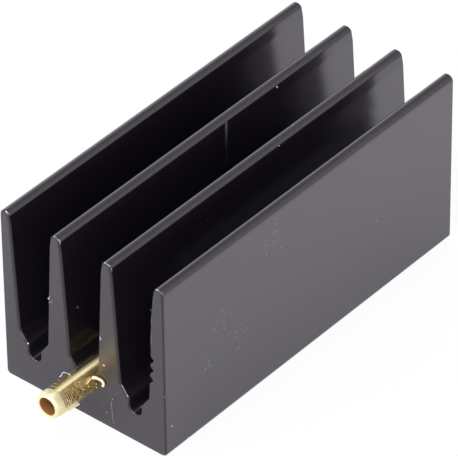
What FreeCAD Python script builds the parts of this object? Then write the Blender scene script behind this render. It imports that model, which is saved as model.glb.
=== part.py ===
import FreeCAD
import Part
import math
import os

# Board-level heat sink: a sawn length of black anodised aluminium extrusion with
# four tapered fins, and a hollow brass solder pin pressed into one end.
# Millimetres. The origin is the centre of the base's underside, +Y runs along the
# extrusion, +Z points up the fins, and the pin stands out of the -Y end.

# Extruded body: the height of its section and the length it is sawn to
BODY_HEIGHT = 22.9
BODY_LENGTH = 50.0

# Fins, measured where their tapered flanks would reach the tips, and the slots between them
SLOT_COUNT = 3
INNER_FIN_TIP_WIDTH = 1.65
OUTER_FIN_TIP_WIDTH = 1.55
SLOT_MOUTH_WIDTH = 5.6
SLOT_WAIST_WIDTH = 3.85
SHOULDER_RISE = 1.6

# Screw channel at the bottom of each slot, above the solid base
BASE_THICKNESS = 4.0
CHANNEL_WIDTH = 1.6
CHANNEL_DEPTH = 1.65

# Fin tips: how far down the slot walls begin to lean back, how far they lean back by
# the top, the radii, and the least flat left on a tip
TIP_LEAN_DEPTH = 1.6
TIP_LEAN_BACK = 0.19
TIP_LEAN_RADIUS = 4.0
FIN_TIP_RADIUS = 0.68
OUTER_TIP_RADIUS = 0.72
FIN_TIP_FLAT = 0.04

# Other corner radii of the section, and the deburring of the sawn ends
BASE_CORNER_RADIUS = 0.7
BEND_RADIUS = 0.3
FRONT_CHAMFER = 0.25
BACK_CHAMFER = 0.12

# V-grooves that a spring clip catches, in the inner wall of the right-hand fin
GROOVE_COUNT = 3
GROOVE_PITCH = 1.4
GROOVE_DEPTH = 0.73
GROOVE_FIRST_RISE = 2.9
GROOVE_UPPER_FLANK = 0.66
GROOVE_LOWER_FLANK = 0.93

# Solder pin, a brass tube: sizes of its wall, and how it stands at the sawn end
PIN_DIAMETER = 3.3
PIN_BORE_DIAMETER = 2.17
PIN_REACH = 6.1
PIN_AXIS_RISE = 1.15
PIN_LIP_RADIUS = 0.3
PIN_BORE_LIP_RADIUS = 0.12

# Turned ribs round the pin, behind the smooth land at its tip
PIN_LAND_LENGTH = 1.2
RIB_COUNT = 11
RIB_PITCH = 0.27
RIB_DEPTH = 0.03

# Hidden end of the pin, and the drilled hole that holds it
PIN_GRIP_LENGTH = 6.0
PIN_LEAD_IN = 0.2
PIN_CLEARANCE = 0.01
HOLE_SPARE_DEPTH = 0.5
DRILL_POINT_DEG = 118.0

# How far the cutting shapes stand out past the metal they cut
CUTTER_OVERRUN = 0.5

# Two points closer than this are one point, in mm
SAME_PLACE = 1e-6

# Sizes, heights and places that follow from the sizes above
SLOT_PITCH = SLOT_MOUTH_WIDTH + INNER_FIN_TIP_WIDTH
BODY_WIDTH = SLOT_PITCH * SLOT_COUNT - INNER_FIN_TIP_WIDTH + OUTER_FIN_TIP_WIDTH * 2
CHANNEL_TOP = BASE_THICKNESS + CHANNEL_DEPTH
SHOULDER_TOP = CHANNEL_TOP + SHOULDER_RISE
LEAN_START = BODY_HEIGHT - TIP_LEAN_DEPTH
FRONT = -BODY_LENGTH / 2
BACK = BODY_LENGTH / 2
FIRST_SLOT = -SLOT_PITCH * (SLOT_COUNT - 1) / 2
LAST_SLOT = -FIRST_SLOT
PIN_SLOT = FIRST_SLOT + SLOT_PITCH * (SLOT_COUNT // 2)
PIN_HEIGHT = BASE_THICKNESS + PIN_AXIS_RISE

ALONG = FreeCAD.Vector(0, 1, 0)


def rounded_face(corners, place):
    """A flat face inside a closed outline of (u, v, corner radius), each corner an arc tangent to its sides."""
    points = [FreeCAD.Vector(u, v, 0) for u, v, radius in corners]
    edges = []
    ends = []
    for index, (u, v, radius) in enumerate(corners):
        corner = points[index]
        back = (points[index - 1] - corner).normalize()
        ahead = (points[(index + 1) % len(points)] - corner).normalize()
        half = back.getAngle(ahead) / 2
        if radius == 0:
            ends.append((corner, corner))
            continue
        start = corner + back * (radius / math.tan(half))
        stop = corner + ahead * (radius / math.tan(half))
        middle = corner + (back + ahead).normalize() * (radius / math.sin(half) - radius)
        ends.append((start, stop))
        edges.append(Part.Arc(place(start), place(middle), place(stop)).toShape())
    for index, (start, stop) in enumerate(ends):
        following = ends[(index + 1) % len(ends)][0]
        if stop.distanceToPoint(following) > SAME_PLACE:
            edges.append(Part.makeLine(place(stop), place(following)))
    return Part.Face(Part.Wire(Part.__sortEdges__(edges)))


def in_section(point):
    """Places a point of the section, (across, up), at the front end of the body."""
    return FreeCAD.Vector(point.x, FRONT, point.y)


def slot_corners(centre):
    """Corners of one slot, from the lip on its right, down round the screw channel, to the lip on its left."""
    right = [
        (SLOT_MOUTH_WIDTH / 2 + TIP_LEAN_BACK, BODY_HEIGHT, fin_tip_radius()),
        (half_slot(LEAN_START), LEAN_START, TIP_LEAN_RADIUS),
        (SLOT_WAIST_WIDTH / 2, SHOULDER_TOP, BEND_RADIUS),
        (CHANNEL_WIDTH / 2, CHANNEL_TOP, BEND_RADIUS),
        (CHANNEL_WIDTH / 2, BASE_THICKNESS, CHANNEL_WIDTH / 2),
    ]
    left = [(-across, up, radius) for across, up, radius in reversed(right)]
    return [(centre + across, up, radius) for across, up, radius in right + left]


def half_slot(height):
    """Half the width between a slot's tapered walls at a height."""
    share = (height - SHOULDER_TOP) / (BODY_HEIGHT - SHOULDER_TOP)
    return (SLOT_WAIST_WIDTH + share * (SLOT_MOUTH_WIDTH - SLOT_WAIST_WIDTH)) / 2


def tip_set_back():
    """How far in from its corner a tip's slot-side arc of radius 1 ends on the flat."""
    lean = math.atan2(SLOT_MOUTH_WIDTH / 2 + TIP_LEAN_BACK - half_slot(LEAN_START), TIP_LEAN_DEPTH)
    return math.tan(math.pi / 4 - lean / 2)


def fin_tip_radius():
    """The tip radius beside a slot, which leaves a flat on an inner fin."""
    room = (INNER_FIN_TIP_WIDTH - FIN_TIP_FLAT) / 2 - TIP_LEAN_BACK
    return min(FIN_TIP_RADIUS, room / tip_set_back())


def outer_tip_radius():
    """The tip radius on the body's sides, which leaves a flat on an outer fin."""
    room = OUTER_FIN_TIP_WIDTH - TIP_LEAN_BACK - FIN_TIP_FLAT - fin_tip_radius() * tip_set_back()
    return min(OUTER_TIP_RADIUS, room)


def body_section():
    """The extrusion's section: base, fins and slots in one outline."""
    side = BODY_WIDTH / 2
    corners = [
        (-side, 0, BASE_CORNER_RADIUS),
        (side, 0, BASE_CORNER_RADIUS),
        (side, BODY_HEIGHT, outer_tip_radius()),
    ]
    for number in reversed(range(SLOT_COUNT)):
        corners += slot_corners(FIRST_SLOT + SLOT_PITCH * number)
    corners.append((-side, BODY_HEIGHT, outer_tip_radius()))
    return rounded_face(corners, in_section)


def wall_across(height):
    """How far out the right wall of the last slot stands at a height."""
    return LAST_SLOT + half_slot(height)


def groove_mouth(edge, height):
    """A corner of the grooving bar, on its flank's line and clear of the wall it meets at a height."""
    flank = FreeCAD.Vector(wall_across(height), height, 0) - edge
    return edge + flank * ((flank.Length + CUTTER_OVERRUN) / flank.Length)


def clip_groove(height):
    """The bar that cuts one V-groove, its edge buried in the wall at a height."""
    edge = FreeCAD.Vector(wall_across(height) + GROOVE_DEPTH, height, 0)
    above = groove_mouth(edge, height + GROOVE_UPPER_FLANK)
    below = groove_mouth(edge, height - GROOVE_LOWER_FLANK)
    outline = [in_section(point) for point in (edge, above, below, edge)]
    return Part.Face(Part.makePolygon(outline)).extrude(ALONG * BODY_LENGTH)


def end_edges(solid, end):
    """The edges that lie in the sawn end at this place along the extrusion."""
    return [
        edge
        for edge in solid.Edges
        if abs(edge.BoundBox.YMin - end) + abs(edge.BoundBox.YMax - end) < SAME_PLACE
    ]


def pin_place(point):
    """Places a point of the pin's half section, (out from the axis, along from the sawn end)."""
    return FreeCAD.Vector(PIN_SLOT + point.x, FRONT + point.y, PIN_HEIGHT)


def turned(corners):
    """A solid turned about the pin's axis from a half section of (out, along, corner radius)."""
    return rounded_face(corners, pin_place).revolve(pin_place(FreeCAD.Vector(0, 0, 0)), ALONG, 360)


def pin_hole():
    """The drilled hole: a plain wall and a drill point, opening through the sawn end."""
    radius = PIN_DIAMETER / 2 + PIN_CLEARANCE
    depth = PIN_GRIP_LENGTH + HOLE_SPARE_DEPTH
    point = radius / math.tan(math.radians(DRILL_POINT_DEG / 2))
    return turned([
        (0, -CUTTER_OVERRUN, 0),
        (radius, -CUTTER_OVERRUN, 0),
        (radius, depth, 0),
        (0, depth + point, 0),
    ])


def finned_body():
    """The sawn and deburred extrusion, with its clip grooves and the hole for the pin."""
    bar = body_section().extrude(ALONG * BODY_LENGTH)
    body = bar.makeChamfer(FRONT_CHAMFER, end_edges(bar, FRONT))
    body = body.makeChamfer(BACK_CHAMFER, end_edges(body, BACK))
    for number in range(GROOVE_COUNT):
        body = body.cut(clip_groove(SHOULDER_TOP + GROOVE_FIRST_RISE + number * GROOVE_PITCH))
    return body.cut(pin_hole())


def pin_ribs():
    """Corners of the ribbed band in the pin's half section: a crest, a root and the next crest, over and over."""
    crest = PIN_DIAMETER / 2
    first = PIN_LAND_LENGTH - PIN_REACH
    corners = [(crest, first, 0)]
    for number in range(RIB_COUNT):
        corners.append((crest - RIB_DEPTH, first + (number + 0.5) * RIB_PITCH, 0))
        corners.append((crest, first + (number + 1) * RIB_PITCH, 0))
    return corners


def solder_pin():
    """The brass tube: a rounded lip, a smooth land, the ribs and a plain barrel that ends in the hole."""
    bore = PIN_BORE_DIAMETER / 2
    barrel = PIN_DIAMETER / 2
    tip = [(bore, -PIN_REACH, PIN_BORE_LIP_RADIUS), (barrel, -PIN_REACH, PIN_LIP_RADIUS)]
    root = [
        (barrel, PIN_GRIP_LENGTH - PIN_LEAD_IN, 0),
        (barrel - PIN_LEAD_IN, PIN_GRIP_LENGTH, 0),
        (bore, PIN_GRIP_LENGTH, 0),
    ]
    return turned(tip + pin_ribs() + root)


def main():
    pieces = {"finned_body": finned_body(), "solder_pin": solder_pin()}
    os.makedirs("parts", exist_ok=True)
    for name, shape in pieces.items():
        solid = shape.Solids[0]
        print(name, "valid", shape.isValid(), "solids", len(shape.Solids), "volume", round(shape.Volume, 2))
        solid.exportStep("parts/" + name + ".step")


main()
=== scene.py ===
"""Looks of a board-level heat sink: a black anodised extrusion with a ribbed brass solder pin."""

import math
import random

import bmesh
import bpy
from bpy.props import FloatProperty, FloatVectorProperty, IntProperty, PointerProperty
from mathutils import Matrix, Vector
from mathutils.geometry import interpolate_bezier


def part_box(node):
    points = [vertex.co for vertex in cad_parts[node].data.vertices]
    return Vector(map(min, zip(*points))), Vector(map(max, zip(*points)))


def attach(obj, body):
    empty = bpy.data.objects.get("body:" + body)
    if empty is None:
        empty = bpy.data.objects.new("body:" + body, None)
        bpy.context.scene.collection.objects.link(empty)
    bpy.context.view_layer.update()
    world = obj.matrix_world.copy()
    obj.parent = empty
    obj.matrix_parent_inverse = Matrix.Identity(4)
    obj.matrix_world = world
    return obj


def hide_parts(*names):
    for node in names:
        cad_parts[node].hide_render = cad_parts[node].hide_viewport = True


bl_info = {
    "name": "Heat sink looks",
    "version": (1, 0, 0),
    "blender": (4, 5, 0),
    "location": "3D View > Sidebar > Heat sink",
    "description": "Finishes a finned heat sink with a solder pin, and sets a plain studio round it",
    "category": "Object",
}

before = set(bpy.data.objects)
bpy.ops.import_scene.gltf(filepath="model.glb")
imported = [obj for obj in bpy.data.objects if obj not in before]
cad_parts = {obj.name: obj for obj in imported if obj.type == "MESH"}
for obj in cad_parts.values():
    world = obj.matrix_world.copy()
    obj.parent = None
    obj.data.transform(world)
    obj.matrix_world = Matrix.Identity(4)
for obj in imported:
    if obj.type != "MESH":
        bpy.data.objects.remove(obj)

# Everything is in metres. The origin is under the middle of the base, +Y runs along the extrusion
MM = 0.001
BODY_NODE = "finned_body"
PIN_NODE = "solder_pin"
ROOT = "root"
BODY_LOW, BODY_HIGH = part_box(BODY_NODE)
PIN_LOW, PIN_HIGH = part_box(PIN_NODE)

# Places that follow from the frame
SAWN_END = BODY_LOW.y
TOP = BODY_HIGH.z
SIDE = BODY_HIGH.x
PIN_RADIUS = (PIN_HIGH.x - PIN_LOW.x) / 2
PIN_AXIS = Vector(((PIN_LOW.x + PIN_HIGH.x) / 2, 0, (PIN_LOW.z + PIN_HIGH.z) / 2))
PIN_TIP = PIN_LOW.y
PIN_ROOT = PIN_HIGH.y

# The slots: how far apart, and half their width above the shoulders and at the mouth
SLOT_PITCH = 7.25 * MM
HALF_WAIST = 1.925 * MM
HALF_MOUTH = 2.8 * MM
SHOULDER_TOP = 7.25 * MM

# How finely the meshes are divided, and how the frame's triangles are joined up
PIN_COLUMNS = 160
RINGS_PER_RIB = 6
LIP_STEPS = 5
DOME_POINTS = 16
STATIONS_PER_POINT = 8
SECTION_SIDES = 10
MERGE_WITHIN = 0.0002 * MM
FLAT_WITHIN = math.radians(0.2)
SHARP_ABOVE = math.radians(60)

# Handles of the curve over the pin's tip, as shares of the drop and of the land
TIP_HANDLE_DROP = 0.3
SHOULDER_HANDLE_DROP = 0.12
SHOULDER_HANDLE_LAND = 0.4

# Noise patterns: cells in a metre, detail, and how much of X, Y and Z each one follows
DIE_LINES = {"scale": 5000.0, "detail": 3.0, "stretch": (1, 0.006, 1)}
SAW_MARKS = {"scale": 4200.0, "detail": 3.0, "stretch": (1, 0.02, 0.03)}
ETCHED_GRAIN = {"scale": 14000.0, "detail": 1.0}
WORN_SPOTS = {"scale": 1900.0, "detail": 1.0}
GLOSS_PATCHES = {"scale": 350.0, "detail": 3.0}
PITS = {"scale": 4200.0, "detail": 3.0}
TURNED_GROOVES = {"scale": 9000.0, "detail": 2.0, "stretch": (0.05, 1, 0.05)}
STAINS = {"scale": 1800.0, "detail": 4.0}
GRIME_PATCHES = {"scale": 2600.0, "detail": 3.0}
UNEVEN_BITS = {"scale": 6000.0, "detail": 2.0}
UNEVEN_RIBS = {"scale": 1500.0, "detail": 2.0}
BRUISES = {"scale": 3800.0, "detail": 1.0}
NOISE_MIDDLE = 0.5

# Depths of the finest reliefs
GROOVE_DEPTH = 0.002 * MM
PIT_DEPTH = 0.011 * MM
BIT_RELIEF = 0.01 * MM

# Looks that turn on between two values: facings of the body's faces, places on it, and noise
ON_SAWN_END = (0.85, 0.98)
ON_END_CHAMFER = (0.15, 0.4)
BEHIND_CHAMFER_FRONT = (SAWN_END + 0.15 * MM, SAWN_END + 0.19 * MM)
BEFORE_CHAMFER_BACK = (SAWN_END + 0.27 * MM, SAWN_END + 0.23 * MM)
NEAR_FIN_TIPS = (TOP - 0.85 * MM, TOP - 0.5 * MM)
IN_WORN_SPOT = (0.47, 0.58)

# How far patches swing the roughness, the shader's usual sheen, and the share of the painted shade rim at
# which it is full
GLOSS_SWING = 0.1
FULL_SHEEN = 0.5
RIM_SHADE_FULL_AT = 0.6

# The scrape's skin: where it begins to fade into the dye and where it has, and its gloss
SCRAPE_FADES = (TOP - 0.2 * MM, TOP - 4 * MM)
SCRAPE_ROUGHNESS = 0.6
SCRAPE_SHEEN = 0.2

# The pin's finish: edges of the bore and the land, stains, a painted reflection that fades in behind the
# land, and painted shade that grows towards the sawn end
BORE_EDGE = (0.08 * MM, 0.01 * MM)
RIBS_EDGE = 0.1 * MM
IN_STAIN = (0.42, 0.62)
STAIN_SHARE = 0.75
LAND_REFLECTION_FADE = 1.6 * MM
LAND_REFLECTION_SHARE = 0.35
SHADE_REACH = 2 * MM
SHADE_SHARES = (0.4, 0.9)
IN_GRIME = (0.3, 0.55)

# The ribs' unevenness: shares of their depth over a range of noise, and bruises some ribs behind the land
RIB_SWING = (0.35, 1.4)
RIB_SWING_OVER = (0.3, 0.7)
BRUISED_BY_RIB = 1.5
IN_BRUISE = (0.35, 0.75)

# Directions, each with the cosines at which its look begins and is full
# The top strip that carries the painted highlight in the brass colour; ribs and stains stay off it
OFF_HIGHLIGHT_STRIP = (Vector((0.2, 0, 0.98)), 0.99, 0.96)
# The underside, lightened as a painted reflection of the floor; ribs and stains stay off it
OFF_REFLECTION_UNDERSIDE = (Vector((0.77, 0, -0.64)), 0.95, 0.8)
# The upper-left flank, darkened as painted shade that grows towards the body
ON_SHADED_FLANK = (Vector((-0.77, 0, 0.64)), 0.55, 0.9)
IN_RIGHT_PATCH = (Vector((0.48, 0.6, 0.63)).normalized(), 0.84, 0.96)
IN_OVERHEAD_PATCH = (Vector((-0.13, 0.04, 0.98)).normalized(), 0.96, 0.99)

# Parts of the surroundings, by one coordinate of the direction
SKY_LOW = (0.8, 0.25)
SKY_LEFT = (-0.3, -0.75)
SKY_FRONT = (0.1, -0.5)

# Places on the floor between which its light in gloss changes
FLOOR_TINTED = (-30 * MM, 45 * MM)
FLOOR_LEFT = (-12 * MM, -25 * MM)
FLOOR_FAR = (70 * MM, 500 * MM)
FLOOR_FRONT = (-25 * MM, -38 * MM)
FLOOR_SIDE = (-20 * MM, 40 * MM)
FLOOR_SHADE = (26 * MM, 14 * MM)
FLOOR_TURN = (-27 * MM, -24 * MM)

# The lamp: which way it shines, from how far, and its size. The camera: its sensor and its reach
LAMP_TOWARDS = Vector((0.0, 0.8, -0.6))
LAMP_DISTANCE = 0.8
LAMP_WIDTH = 1.0
LAMP_HEIGHT = 0.5
SENSOR_WIDTH = 36.0
VIEW_END = 10.0

# White with full alpha
WHITE = (1, 1, 1, 1)

# Paths of the loose bits, in millimetres
CURL = (
    (1.58, -25.25, 6.34), (1.88, -25.22, 6.46), (2.34, -25.22, 6.53),
    (2.73, -25.2, 6.5), (2.98, -25.2, 6.31), (3.0, -25.2, 6.03), (2.92, -25.2, 5.83),
)
CURL_TAIL = (
    (1.48, -26.2, 5.97), (1.46, -26.04, 6.03), (1.43, -25.82, 6.09), (1.4, -25.54, 6.14),
    (1.42, -25.3, 6.22), (1.6, -25.25, 6.34),
)
BURR_BELOW = ((1.25, -29.2, 4.08), (1.28, -28.7, 4.06), (1.32, -28.1, 4.04), (1.38, -27.5, 4.0))
CRUMBS = (
    (1.04, -26.9, 6.43), (1.59, -26.06, 5.61), (1.79, -25.03, 5.4), (1.78, -25.03, 4.91),
    (1.56, -26.87, 5.69),
)
WHISKER = (
    (-3.55, -25.05, 3.62), (-3.3, -25.05, 3.95), (-3.04, -25.05, 4.49), (-2.64, -25.1, 4.7),
    (-2.0, -25.7, 5.4), (-1.22, -26.42, 6.24), (-0.62, -26.84, 6.73), (-0.24, -26.94, 6.86),
)
FIN_SCRAPE = (
    (-3.06, 3.07, 22.68), (-2.965, 2.93, 22.5), (-2.87, 2.84, 22.3), (-2.79, 2.74, 21.9),
    (-2.69, 2.61, 21.3), (-2.645, 2.54, 20.5), (-2.6, 2.47, 19.6), (-2.56, 2.42, 19.0),
    (-2.505, 2.354, 18.0), (-2.45, 2.29, 17.0),
)
END_SCRATCH = ((3.88, -25.0, 4.0), (3.94, -25.0, 2.84), (4.04, -25.0, 1.5), (4.17, -25.0, 0.85))
END_SCRATCH_CURVED = ((4.3, -25.0, 5.1), (4.5, -25.0, 5.45), (4.8, -25.0, 5.75), (5.1, -25.0, 5.85))
SHOULDER_BURR = ((5.44, -24.98, 7.17), (5.76, -24.98, 6.74), (6.06, -24.98, 6.29), (6.34, -24.98, 5.9))
NOTCH_PITCH = 0.2

# Least and most of a grain's radius that it keeps in each direction
GRAIN_LEAST = (0.5, 0.5, 0.5)
GRAIN_MOST = (1.2, 1.2, 1.2)

# Places of the chips and smudges, in millimetres
CHIPS = (
    (2.53, -25.0, 12.32), (2.6, -25.0, 12.08), (2.88, -25.0, 8.66), (3.02, -25.0, 8.6),
    (-2.88, 11.62, 22.3), (-2.24, -23.21, 12.91), (-4.79, -25.0, 13.94), (-8.12, -25.0, 5.95),
    (11.55, -23.93, 3.93),
)
FINE_CHIPS = (
    (-6.98, -25.0, 4.08), (4.06, -25.0, 4.46), (6.3, -25.0, 6.02), (6.22, -25.0, 6.14),
    (4.61, -9.4, 19.98), (3.47, 6.68, 22.9), (4.32, 3.22, 22.48), (8.24, -25.0, 5.54),
    (-3.8, -25.0, 15.0), (-4.72, -25.0, 13.47), (-4.4, -25.0, 13.67), (-4.53, -25.0, 14.71),
    (-4.63, -25.0, 14.31), (-9.07, -25.0, 6.86), (-8.86, -25.0, 6.62), (-8.57, -25.0, 6.4),
    (10.0, -25.0, 18.74), (9.98, -25.0, 18.32), (9.91, -25.0, 16.23), (9.88, -25.0, 15.59),
    (9.87, -25.0, 19.84),
)
SMUDGES = ((3.2, -25.0, 2.16), (3.24, -25.0, 2.02), (2.65, -25.0, 3.05), (11.47, -24.88, 8.59))

# A row of chips down the right-hand fin's edge: the first, the step, and how far each one strays
ROW_FIRST_X = 9.86
ROW_FIRST_Z = 19.6
ROW_STEP_X = 0.0235
ROW_STEP_Z = 0.42
ROW_BEHIND_END = 0.22
ROW_STRAYS = (0.0, 0.02, -0.02, 0.01, 0.03, 0.0, -0.02, 0.01, 0.0, 0.02, -0.01, 0.0, 0.02)

# Dust on the right side, as (along, up) in millimetres, and how deep the grains' middles sit in it
DUST = (
    (-4.7, 19.3), (-5.3, 17.1), (-7.8, 17.7), (-6.2, 20.9), (-7.9, 18.9), (-6.3, 19.9),
    (11.3, 10.7), (-13.2, 10.3), (-11.3, 9.6), (-12.6, 7.6), (-15.0, 11.9), (-11.0, 12.0),
    (-18.2, 8.2), (-15.6, 8.6), (-23.93, 3.93), (-21.3, 0.6), (-15.3, 14.9), (-22.21, 2.47),
)
DUST_CLUSTERS = ((-6.7, 19.2), (-12.3, 9.9), (-17.9, 8.9), (-15.5, 13.0))
DUST_SPREAD = 0.95
GRAINS_PER_CLUSTER = 60
CLUSTER_SEED = 11
DUST_SINKS = 0.03
FINE_DUST_SINKS = 0.01


class BodyFinish(bpy.types.PropertyGroup):
    """Finish of the extrusion."""

    colour: FloatVectorProperty(
        name="Dye", description="Colour of the dyed oxide", subtype="COLOR", size=3,
        default=(0.0095, 0.0075, 0.0105),
    )
    sheen_tint: FloatVectorProperty(
        name="Skin tint", description="Tint of what the oxide skin mirrors", subtype="COLOR", size=3,
        default=(0.94, 0.875, 1.0),
    )
    skin_ior: FloatProperty(
        name="Skin index", description="Refractive index of the oxide skin", default=1.95
    )
    roughness: FloatProperty(
        name="Roughness", description="Roughness of the drawn faces", subtype="FACTOR", default=0.2
    )
    sawn_roughness: FloatProperty(
        name="Sawn roughness", description="Roughness of the two sawn ends", subtype="FACTOR",
        default=0.36,
    )
    # Painted shade: a band beside the slots on the ends that loses sheen, standing in for a rounded edge
    rim_shade_width: FloatProperty(
        name="Soft edge", description="Width of the dulled rim beside the slots on the ends",
        unit="LENGTH", default=0.5 * MM,
    )
    rim_shade_loss: FloatProperty(
        name="Soft edge loss", description="Share of the sheen that the dulled rim loses",
        subtype="FACTOR", default=0.42,
    )
    # Painted shade: lowers the end chamfers' sheen to dim their mirror of the bright front
    shaded_chamfer_sheen: FloatProperty(
        name="Edge sheen", description="Share of the sheen that the deburred end edges keep",
        subtype="FACTOR", default=0.55,
    )
    die_line_depth: FloatProperty(
        name="Die line depth", description="Depth of the lines left by the die", unit="LENGTH",
        default=0.0012 * MM,
    )
    grain_depth: FloatProperty(
        name="Grain depth", description="Depth of the etched grain", unit="LENGTH",
        default=0.0008 * MM,
    )
    bare_metal: FloatVectorProperty(
        name="Bare metal", description="Colour where the dye is rubbed off", subtype="COLOR", size=3,
        default=(0.75, 0.75, 0.78),
    )


class PinShape(bpy.types.PropertyGroup):
    """Sizes and finish of the solder pin."""

    bore: FloatProperty(
        name="Bore", description="Diameter of the bore", unit="LENGTH", default=2.17 * MM
    )
    dome_drop: FloatProperty(
        name="Dome drop", description="How far the tip closes in towards the bore", unit="LENGTH",
        default=0.38 * MM,
    )
    bore_lip: FloatProperty(
        name="Bore lip radius", description="Rounding of the bore's mouth", unit="LENGTH",
        default=0.12 * MM,
    )
    land: FloatProperty(
        name="Land", description="Smooth length behind the tip", unit="LENGTH", default=1.2 * MM
    )
    rib_pitch: FloatProperty(
        name="Rib pitch", description="From rib to rib", unit="LENGTH", default=0.27 * MM
    )
    rib_count: IntProperty(name="Ribs", description="Number of turned ribs", default=11)
    rib_depth: FloatProperty(
        name="Rib depth", description="Depth between ribs", unit="LENGTH", default=0.03 * MM
    )
    bruise_depth: FloatProperty(
        name="Bruise depth", description="Depth of the bruises behind the land", unit="LENGTH",
        default=0.02 * MM,
    )
    lead_in: FloatProperty(
        name="Lead-in", description="Chamfer at the hidden end", unit="LENGTH", default=0.2 * MM
    )
    colour: FloatVectorProperty(
        name="Brass", description="Colour of the clean brass", subtype="COLOR", size=3,
        default=(0.9, 0.68, 0.3),
    )
    # Darker brown for the upper-left flank: random patches, with painted shade towards the body
    grime_and_shade: FloatVectorProperty(
        name="Grime", description="Colour of the dirt on the left flank", subtype="COLOR", size=3,
        default=(0.1, 0.07, 0.03),
    )
    # Painted highlight: lighter brass along the top strip
    rubbed: FloatVectorProperty(
        name="Rubbed brass", description="Colour of the brass rubbed bright along the top",
        subtype="COLOR", size=3, default=(0.98, 0.83, 0.48),
    )
    tarnish: FloatVectorProperty(
        name="Tarnish", description="Colour of the stained brass", subtype="COLOR", size=3,
        default=(0.6, 0.385, 0.145),
    )
    bore_stain: FloatVectorProperty(
        name="Bore stain", description="Colour of the brass in the bore", subtype="COLOR", size=3,
        default=(0.5, 0.26, 0.1),
    )
    # Lighter brass of the tip's land, also faded in behind it and laid on the underside: painted
    # reflection
    land_and_reflection_colour: FloatVectorProperty(
        name="Burnished brass", description="Colour of the burnished tip and the clean underside",
        subtype="COLOR", size=3, default=(1.0, 0.9, 0.56),
    )
    roughness: FloatProperty(
        name="Roughness", description="Roughness of the barrel", subtype="FACTOR", default=0.22
    )
    # Roughness of the top strip that carries the painted highlight
    highlight_strip_roughness: FloatProperty(
        name="Rubbed roughness", description="Roughness along the rubbed top", subtype="FACTOR",
        default=0.36,
    )
    land_roughness: FloatProperty(
        name="Land roughness", description="Roughness of the burnished tip", subtype="FACTOR",
        default=0.4,
    )
    bore_roughness: FloatProperty(
        name="Bore roughness", description="Roughness of the bore", subtype="FACTOR", default=0.6
    )
    stretch: FloatProperty(
        name="Stretch", description="How far the turned grooves draw the gloss out along the barrel",
        subtype="FACTOR", default=0.9,
    )
    bareness: FloatProperty(
        name="Bareness", description="Share of the barrel that is bare metal", subtype="FACTOR",
        default=0.88,
    )
    land_bareness: FloatProperty(
        name="Land bareness", description="Share of the burnished tip that is bare metal",
        subtype="FACTOR", default=0.68,
    )


class WearColours(bpy.types.PropertyGroup):
    """Colours of the shavings, burrs, chips, scratches and dust."""

    shaving: FloatVectorProperty(
        name="Shavings", description="Colour of the curl and the crumbs", subtype="COLOR", size=3,
        default=(1.0, 0.82, 0.52),
    )
    tail: FloatVectorProperty(
        name="Tail", description="Colour of the curl's duller tail", subtype="COLOR", size=3,
        default=(0.75, 0.64, 0.42),
    )
    pale_burr: FloatVectorProperty(
        name="Pale burr", description="Colour of the burr under the pin", subtype="COLOR", size=3,
        default=(1.0, 0.93, 0.82),
    )
    whisker: FloatVectorProperty(
        name="Whisker", description="Colour of the hair-like burr over the pin", subtype="COLOR",
        size=3, default=(0.84, 0.91, 1.0),
    )
    chips: FloatVectorProperty(
        name="Chips", description="Colour of the bright chips", subtype="COLOR", size=3,
        default=(0.9, 0.9, 0.92),
    )
    worn_edge: FloatVectorProperty(
        name="Worn edge", description="Colour of the thin burr on the slot's shoulder",
        subtype="COLOR", size=3, default=(0.36, 0.36, 0.4),
    )
    scratches: FloatVectorProperty(
        name="Scratches", description="Colour of the scratches and smudges", subtype="COLOR", size=3,
        default=(0.17, 0.165, 0.18),
    )
    scrape: FloatVectorProperty(
        name="Scrape", description="Colour of the scrape at the fin's tip", subtype="COLOR", size=3,
        default=(0.1, 0.1, 0.105),
    )
    dust: FloatVectorProperty(
        name="Dust", description="Colour of the coarse dust", subtype="COLOR", size=3,
        default=(0.75, 0.73, 0.78),
    )
    fine_dust: FloatVectorProperty(
        name="Fine dust", description="Colour of the fine dust", subtype="COLOR", size=3,
        default=(0.4, 0.385, 0.42),
    )


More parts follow.
